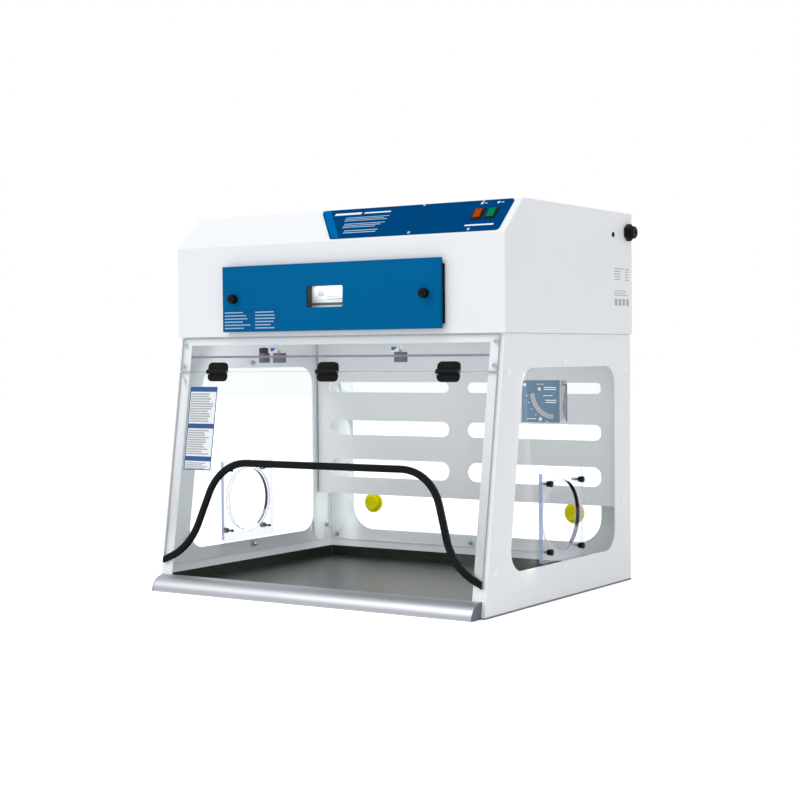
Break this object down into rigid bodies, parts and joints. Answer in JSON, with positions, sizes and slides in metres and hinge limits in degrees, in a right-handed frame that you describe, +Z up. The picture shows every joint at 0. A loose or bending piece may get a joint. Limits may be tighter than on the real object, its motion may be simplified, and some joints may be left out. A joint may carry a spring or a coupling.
{
  "type": "powder weighing hood",
  "caption": "Benchtop filtered hood with a slanted white head, blue filter door, clear walls, arched hinged sash, glove-size side ports and a dark spill tray.",
  "frame": {"origin": "centre of the base's underside", "axes": "X along the front to the right as seen from the front, Y to the back, Z up"},
  "size_m": [0.949, 0.743, 0.892],
  "materials": {
    "powder_coat": "fine satin powder coat",
    "clear": "clear sheet",
    "port_clear": "thick clear sheet with dark edges",
    "plug_yellow": "satin",
    "tray_dark": "satin dark coat",
    "sill_metal": "satin anodised",
    "cap_slate": "matte",
    "black_plastic": "matte black",
    "black_rubber": "matte",
    "door_blue": "satin",
    "panel_blue": "satin",
    "rocker_orange": "gloss",
    "rocker_green": "gloss",
    "galvanised": "plain zinc coat",
    "filter_wood": "plain board",
    "filter_paper": "folded filter paper",
    "mat_fibre": "fibre mat",
    "foam": "closed-cell foam",
    "fan_black": "matte",
    "steel": "plain",
    "gauge_blue": "satin slate blue",
    "vial_green": "tinted liquid",
    "clamp_slate": "matte"
  },
  "bodies": {
    "hood": {"base_pan": "powder_coat", "side_panel_right": "powder_coat", "side_panel_left": "powder_coat", "side_window_right": "clear", "side_window_left": "clear", "rear_panel": "powder_coat", "front_rail": "powder_coat", "rear_window": "clear", "rear_plug_right": "plug_yellow", "rear_plug_left": "plug_yellow", "baffle": "powder_coat", "work_tray": "tray_dark", "sill": "sill_metal", "sill_cap_right": "cap_slate", "sill_cap_left": "cap_slate", "port_plate_right": "port_clear", "port_plate_left": "port_clear", "thumb_screws": "black_plastic", "sash_strip": "clear", "hinge_upper_leaves": "black_plastic", "hinge_pins": "steel", "head_shell": "powder_coat", "head_floor": "powder_coat", "prefilter_mat": "mat_fibre", "prefilter_grid": "powder_coat", "filter_rail_right": "galvanised", "filter_rail_left": "galvanised", "filter_frame": "filter_wood", "filter_pleats": "filter_paper", "filter_seal": "foam", "fan_deck": "galvanised", "fan_motor": "fan_black", "motor_bracket": "galvanised", "exhaust_grille": "powder_coat", "filter_door": "door_blue", "door_pane": "clear", "door_gasket": "black_rubber", "control_panel": "panel_blue", "switch_body_left": "black_plastic", "switch_body_right": "black_plastic", "power_gland": "black_plastic", "side_plug": "black_plastic", "gauge_case": "gauge_blue", "gauge_face": "gauge_blue", "gauge_pin": "steel", "bubble_level": "vial_green", "deflector": "clear", "strip_clamps": "clamp_slate", "strip_hangers": "powder_coat"},
    "sash": {"sash": "clear", "sash_trim": "black_rubber", "hinge_lower_leaves": "black_plastic"},
    "rocker_left": {"rocker_left": "rocker_orange"},
    "rocker_right": {"rocker_right": "rocker_green"},
    "door_knob_left": {"door_knob_left": "black_plastic"},
    "door_knob_right": {"door_knob_right": "black_plastic"},
    "gauge_vane": {"gauge_vane": "steel"},
    "impeller": {"fan_impeller": "fan_black", "fan_shaft": "steel"}
  },
  "joints": [
    {"name": "sash_hinge", "type": "hinge", "parent": "hood", "child": "sash", "pos_m": [0, -0.28574, 0.5178], "axis": [-1, 0, 0], "range_deg": [0, 160]},
    {"name": "rocker_left_tilt", "type": "hinge", "parent": "hood", "child": "rocker_left", "pos_m": [0.365, -0.22541, 0.85728], "axis": [-1, 0, 0], "range_deg": [0, 14]},
    {"name": "rocker_right_tilt", "type": "hinge", "parent": "hood", "child": "rocker_right", "pos_m": [0.399, -0.22541, 0.85728], "axis": [-1, 0, 0], "range_deg": [0, 14]},
    {"name": "door_knob_left_turn", "type": "hinge", "parent": "hood", "child": "door_knob_left", "pos_m": [-0.266, -0.285, 0.688], "axis": [0, -1, 0], "range_deg": [0, 90]},
    {"name": "door_knob_right_turn", "type": "hinge", "parent": "hood", "child": "door_knob_right", "pos_m": [0.266, -0.285, 0.688], "axis": [0, 1, 0], "range_deg": [0, 90]},
    {"name": "gauge_vane_swing", "type": "hinge", "parent": "hood", "child": "gauge_vane", "pos_m": [0.4285, 0.02, 0.466], "axis": [0, 1, 0], "range_deg": [0, 75]},
    {"name": "impeller_spin", "type": "hinge", "parent": "hood", "child": "impeller", "pos_m": [0, 0.04, 0.8], "axis": [0, 0, 1], "continuous": true}
  ]
}
